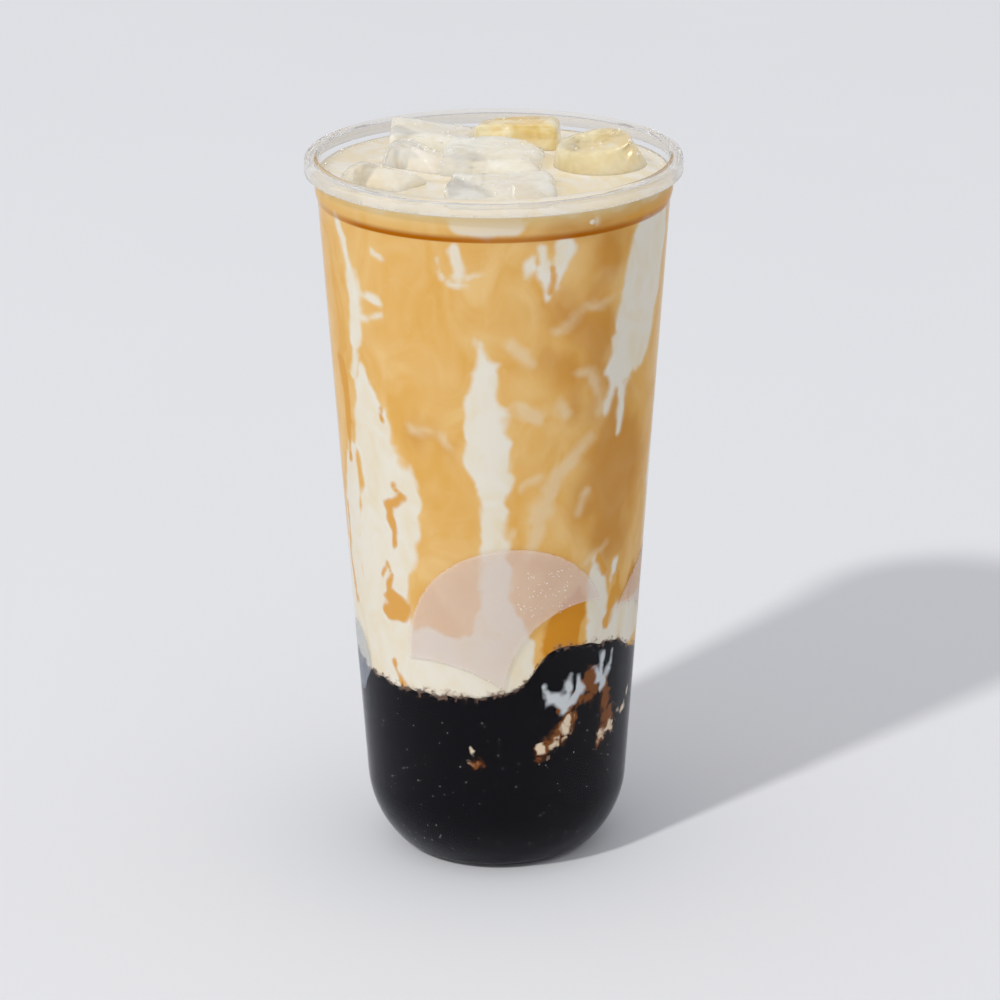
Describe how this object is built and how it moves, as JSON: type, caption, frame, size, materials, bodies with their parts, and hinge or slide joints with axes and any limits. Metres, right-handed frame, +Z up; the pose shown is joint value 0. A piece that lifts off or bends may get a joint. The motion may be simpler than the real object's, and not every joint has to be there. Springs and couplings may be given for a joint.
{
  "type": "bubble tea",
  "caption": "Tall clear U-shaped cup of bubble tea: marbled milk tea over a dark layer, with ice standing out of it at the lip.",
  "frame": {"origin": "centre of the base, on the surface the cup stands on", "axes": "+Z up along the cup's axis; -Y is the front, the side with the pale discs; +X to the right of it"},
  "size_m": [0.09, 0.09, 0.1784],
  "materials": {
    "cup": "moulded, slightly hazy",
    "dark_layer": "wet, seen through the wall",
    "milk_tea": "liquid",
    "ice": "wet, milky"
  },
  "bodies": {
    "root": {"cup": "cup", "dark_layer": "dark_layer", "milk_tea": "milk_tea", "ice_back_left": "ice", "ice_middle": "ice", "ice_back": "ice", "ice_leaning": "ice", "ice_front": "ice", "ice_barrel": "ice", "ice_cone": "ice"}
  },
  "joints": []
}
